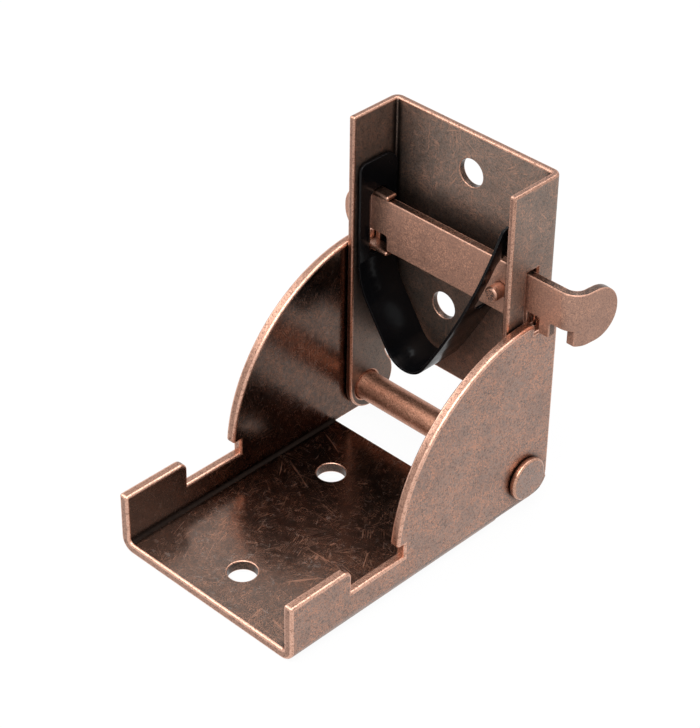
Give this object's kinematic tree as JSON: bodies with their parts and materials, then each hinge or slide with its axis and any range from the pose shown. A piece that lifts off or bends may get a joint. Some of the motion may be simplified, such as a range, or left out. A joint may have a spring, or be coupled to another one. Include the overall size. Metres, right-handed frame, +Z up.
{
  "type": "folding leg bracket",
  "caption": "Folding table-leg bracket: two bent steel leaves on a pivot pin, with a sprung thumb latch that locks the leg open or folded.",
  "frame": {"origin": "middle of the base plate's underside, on the mid-plane between the two ears", "axes": "+X along the pivot to the thumb lever's side, +Y from the open front of the base to the pivot, +Z up from the base plate"},
  "size_m": [0.0491, 0.0612, 0.0592],
  "materials": {
    "antique_copper": "dark antique copper plate on steel, rubbed bright at the edges",
    "copper_latch": "smooth antique copper plate on steel",
    "copper_pin": "antique copper plate on steel",
    "spring_black": "glossy blued spring steel"
  },
  "bodies": {
    "base": {"base_bracket": "antique_copper", "pivot_pin": "copper_pin"},
    "leg": {"leg_bracket": "antique_copper", "return_spring": "spring_black"},
    "latch": {"latch_bar": "copper_latch", "stop_stud": "copper_pin"}
  },
  "joints": [
    {"name": "leg_fold", "type": "hinge", "parent": "base", "child": "leg", "pos_m": [0, 0.0289, 0.0067], "axis": [1, 0, 0], "range_deg": [0, 90]},
    {"name": "latch_slide", "type": "slide", "parent": "leg", "child": "latch", "axis": [-1, 0, 0], "range_m": [0, 0.0044], "stiffness_N_per_m": 1000, "springref_m": -0.003, "deforming": ["return_spring"]}
  ]
}
